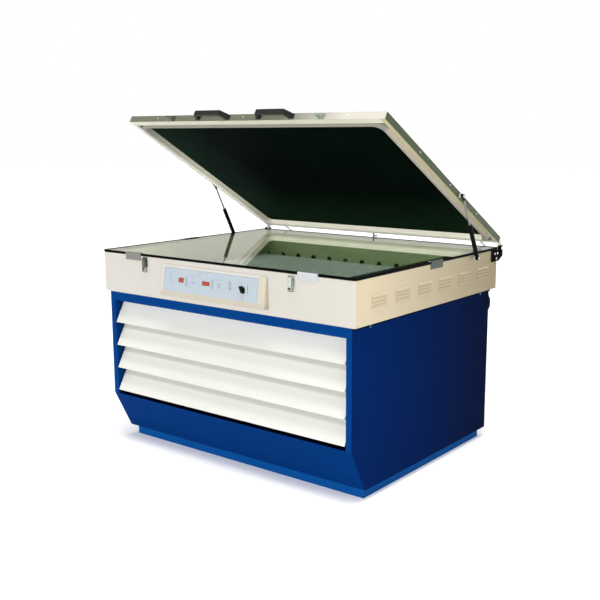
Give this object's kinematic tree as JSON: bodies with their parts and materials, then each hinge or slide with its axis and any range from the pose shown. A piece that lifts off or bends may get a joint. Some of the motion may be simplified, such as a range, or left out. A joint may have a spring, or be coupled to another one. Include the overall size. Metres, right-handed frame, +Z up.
{
  "type": "screen printing exposure unit",
  "caption": "Exposure unit for screen printing frames: glass-topped UV light box with a hinged vacuum lid on a drying cabinet with tilted drawer fronts.",
  "frame": {"origin": "on the floor, under the middle of the light box housing", "axes": "+Z up, +X to the right seen from the front, the front faces -Y"},
  "size_m": [1.453, 1.2759, 1.5151],
  "materials": {
    "blue_paint": "semi-gloss powder coat",
    "cream_paint": "satin powder coat",
    "white_paint": "satin powder coat",
    "black_paint": "satin",
    "reflector_paint": "bright matt",
    "galvanised": "galvanised",
    "stainless": "brushed",
    "zinc_plate": "zinc plated",
    "chrome_rod": "polished",
    "brass_fitting": "dull",
    "clear_glass": "polished",
    "tube_glass": "frosted tube glass",
    "black_rubber": "matt",
    "cream_rubber": "matt",
    "black_plastic": "fine grain",
    "grey_plastic": "fine grain",
    "overlay_film": "satin film",
    "display_red": "tinted windows"
  },
  "bodies": {
    "unit": {"cabinet_base": "blue_paint", "cabinet_side_left": "blue_paint", "cabinet_side_right": "blue_paint", "cabinet_back": "blue_paint", "front_frame": "blue_paint", "toe_panel": "blue_paint", "drawer_runners": "galvanised", "duct_panel": "blue_paint", "heaters": "stainless", "blower_motor": "black_paint", "housing_shell": "cream_paint", "housing_floor": "cream_paint", "light_box": "reflector_paint", "uv_tubes": "tube_glass", "lamp_holders": "black_plastic", "ballasts": "white_paint", "vacuum_pump": "black_paint", "fan_frames": "black_plastic", "glass_plate": "clear_glass", "glass_gasket": "black_rubber", "glass_clips": "zinc_plate", "latch_bases": "zinc_plate", "console_bezel": "cream_paint", "console_overlay": "overlay_film", "display_board": "display_red", "hinge_plates": "black_paint", "hinge_screws": "zinc_plate", "spring_studs": "zinc_plate", "joining_bolts": "zinc_plate", "link_cable": "black_rubber"},
    "lid": {"lid_frame": "cream_paint", "seal_bead": "cream_rubber", "blanket": "black_rubber", "blanket_clamps": "zinc_plate", "lid_handles": "black_plastic", "vacuum_port": "brass_fitting", "hinge_arms": "cream_paint", "latch_strikes": "zinc_plate"},
    "drawer_1": {"drawer_front_1": "white_paint", "drawer_tray_1": "galvanised"},
    "drawer_2": {"drawer_front_2": "white_paint", "drawer_tray_2": "galvanised"},
    "drawer_3": {"drawer_front_3": "white_paint", "drawer_tray_3": "galvanised"},
    "drawer_4": {"drawer_front_4": "white_paint", "drawer_tray_4": "galvanised"},
    "blower_wheel": {"blower_wheel": "galvanised"},
    "fan_rotor_left": {"fan_rotor_left": "black_plastic"},
    "fan_rotor_right": {"fan_rotor_right": "black_plastic"},
    "latch_lever_left": {"latch_lever_left": "zinc_plate"},
    "latch_lever_right": {"latch_lever_right": "zinc_plate"},
    "latch_hook_left": {"latch_hook_left": "zinc_plate"},
    "latch_hook_right": {"latch_hook_right": "zinc_plate"},
    "start_button": {"start_button": "grey_plastic"},
    "stop_button": {"stop_button": "grey_plastic"},
    "selector_knob": {"selector_knob": "black_plastic"},
    "spring_cylinder_left": {"spring_cylinder_left": "black_paint"},
    "spring_cylinder_right": {"spring_cylinder_right": "black_paint"},
    "spring_rod_left": {"spring_rod_left": "chrome_rod"},
    "spring_rod_right": {"spring_rod_right": "chrome_rod"}
  },
  "joints": [
    {"name": "lid_hinge", "type": "hinge", "parent": "unit", "child": "lid", "pos_m": [0, 0.594, 0.894], "axis": [-1, 0, 0], "range_deg": [-29.8, 0]},
    {"name": "drawer_slide_1", "type": "slide", "parent": "unit", "child": "drawer_1", "axis": [0, -1, 0], "range_m": [0, 0.7]},
    {"name": "drawer_slide_2", "type": "slide", "parent": "unit", "child": "drawer_2", "axis": [0, -1, 0], "range_m": [0, 0.7]},
    {"name": "drawer_slide_3", "type": "slide", "parent": "unit", "child": "drawer_3", "axis": [0, -1, 0], "range_m": [0, 0.7]},
    {"name": "drawer_slide_4", "type": "slide", "parent": "unit", "child": "drawer_4", "axis": [0, -1, 0], "range_m": [0, 0.7]},
    {"name": "spring_pivot_left", "type": "hinge", "parent": "unit", "child": "spring_cylinder_left", "pos_m": [-0.717, 0.337, 0.876], "axis": [-1, 0, 0], "range_deg": [-51.25, 0]},
    {"name": "spring_stroke_left", "type": "slide", "parent": "spring_cylinder_left", "child": "spring_rod_left", "axis": [0, -0.4632, 0.8862], "range_m": [-0.08881, 0]},
    {"name": "spring_pivot_right", "type": "hinge", "parent": "unit", "child": "spring_cylinder_right", "pos_m": [0.717, 0.337, 0.876], "axis": [-1, 0, 0], "range_deg": [-51.25, 0]},
    {"name": "spring_stroke_right", "type": "slide", "parent": "spring_cylinder_right", "child": "spring_rod_right", "axis": [0, -0.4632, 0.8862], "range_m": [-0.08881, 0]},
    {"name": "latch_lever_left", "type": "hinge", "parent": "unit", "child": "latch_lever_left", "pos_m": [-0.421, -0.576, 0.877], "axis": [-1, 0, 0], "range_deg": [0, 140]},
    {"name": "latch_hook_left", "type": "hinge", "parent": "latch_lever_left", "child": "latch_hook_left", "pos_m": [-0.421, -0.576, 0.868], "axis": [1, 0, 0], "range_deg": [-186, 0]},
    {"name": "latch_lever_right", "type": "hinge", "parent": "unit", "child": "latch_lever_right", "pos_m": [0.402, -0.576, 0.877], "axis": [-1, 0, 0], "range_deg": [0, 140]},
    {"name": "latch_hook_right", "type": "hinge", "parent": "latch_lever_right", "child": "latch_hook_right", "pos_m": [0.402, -0.576, 0.868], "axis": [1, 0, 0], "range_deg": [-186, 0]},
    {"name": "start_button", "type": "slide", "parent": "unit", "child": "start_button", "axis": [0, 0.9885, -0.1515], "range_m": [0, 0.0015], "stiffness_N_per_m": 800, "springref_m": -0.0005},
    {"name": "stop_button", "type": "slide", "parent": "unit", "child": "stop_button", "axis": [0, 0.9885, -0.1515], "range_m": [0, 0.0015], "stiffness_N_per_m": 800, "springref_m": -0.0005},
    {"name": "selector_knob", "type": "hinge", "parent": "unit", "child": "selector_knob", "pos_m": [0.163, -0.58154, 0.80373], "axis": [0, 0.9885, -0.1515], "range_deg": [0, 90]},
    {"name": "blower_spin", "type": "hinge", "parent": "unit", "child": "blower_wheel", "pos_m": [0, 0.482, 0.45], "axis": [0, 1, 0], "continuous": true},
    {"name": "fan_spin_left", "type": "hinge", "parent": "unit", "child": "fan_rotor_left", "pos_m": [-0.35, 0.547, 0.8], "axis": [0, 1, 0], "continuous": true},
    {"name": "fan_spin_right", "type": "hinge", "parent": "unit", "child": "fan_rotor_right", "pos_m": [0.35, 0.547, 0.8], "axis": [0, 1, 0], "continuous": true}
  ],
  "couplings": [
    {"joint": "spring_pivot_left", "follows": "lid_hinge", "ratio": 1.7096},
    {"joint": "spring_stroke_left", "follows": "lid_hinge", "m_per_rad": 0.1698},
    {"joint": "spring_pivot_right", "follows": "lid_hinge", "ratio": 1.7096},
    {"joint": "spring_stroke_right", "follows": "lid_hinge", "m_per_rad": 0.1698}
  ]
}
